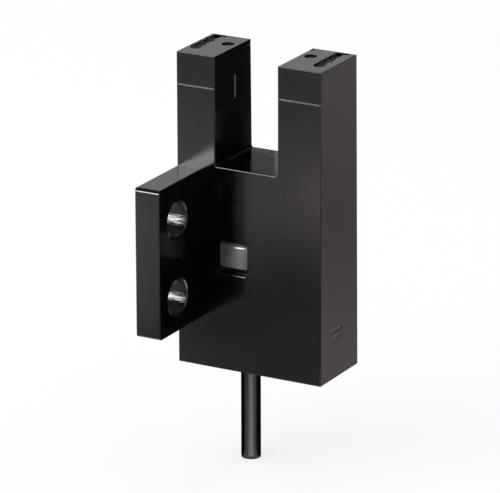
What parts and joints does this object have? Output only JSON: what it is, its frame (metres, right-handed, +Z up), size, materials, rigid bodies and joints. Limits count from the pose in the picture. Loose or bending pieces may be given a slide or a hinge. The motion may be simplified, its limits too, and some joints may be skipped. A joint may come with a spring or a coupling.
{
  "type": "fork sensor",
  "caption": "Photoelectric fork sensor: black moulded prongs either side of a sensing slot, a side mounting flange with screw holes, an indicator window and a short cable lead.",
  "frame": {"origin": "centre of the two mounting holes, on the outer face of the mounting flange", "axes": "+X across the fork from the flange side, +Y from the front face to the back, +Z up along the prongs"},
  "size_m": [0.0137, 0.0136, 0.0361],
  "materials": {
    "case_plastic": "moulded black PBT, semi-gloss",
    "cover_plastic": "moulded black polycarbonate, semi-gloss",
    "window_plastic": "clear polycarbonate light guide over a dark hollow",
    "filter_plastic": "dark infrared-pass polycarbonate",
    "emitter_epoxy": "tinted clear epoxy",
    "receiver_epoxy": "black infrared-pass epoxy",
    "lead_metal": "tin-plated strip",
    "board_laminate": "glass epoxy laminate with green solder mask",
    "package_epoxy": "black moulding compound",
    "resistor_ceramic": "alumina chip with black glaze",
    "capacitor_ceramic": "fired ceramic chip",
    "led_resin": "clear resin chip",
    "ferrule_brass": "crimped brass tube",
    "jacket_pvc": "black vinyl jacket, satin",
    "core_brown": "brown vinyl insulation",
    "core_pink": "pink vinyl insulation",
    "core_black": "black vinyl insulation",
    "core_blue": "blue vinyl insulation",
    "copper": "stranded copper",
    "solder": "bright solder"
  },
  "bodies": {
    "root": {"case": "case_plastic", "rear_cover": "cover_plastic", "indicator_window": "window_plastic", "emitter_window": "filter_plastic", "receiver_window": "filter_plastic", "emitter_led": "emitter_epoxy", "emitter_leads": "lead_metal", "receiver_ic": "receiver_epoxy", "receiver_leads": "lead_metal", "circuit_board": "board_laminate", "amplifier_ic": "package_epoxy", "output_transistor": "package_epoxy", "protection_diode": "package_epoxy", "resistors": "resistor_ceramic", "capacitors": "capacitor_ceramic", "indicator_led": "led_resin", "cable_ferrule": "ferrule_brass", "cable_jacket": "jacket_pvc", "core_brown": "core_brown", "core_pink": "core_pink", "core_black": "core_black", "core_blue": "core_blue", "conductors": "copper", "solder_joints": "solder"}
  },
  "joints": []
}
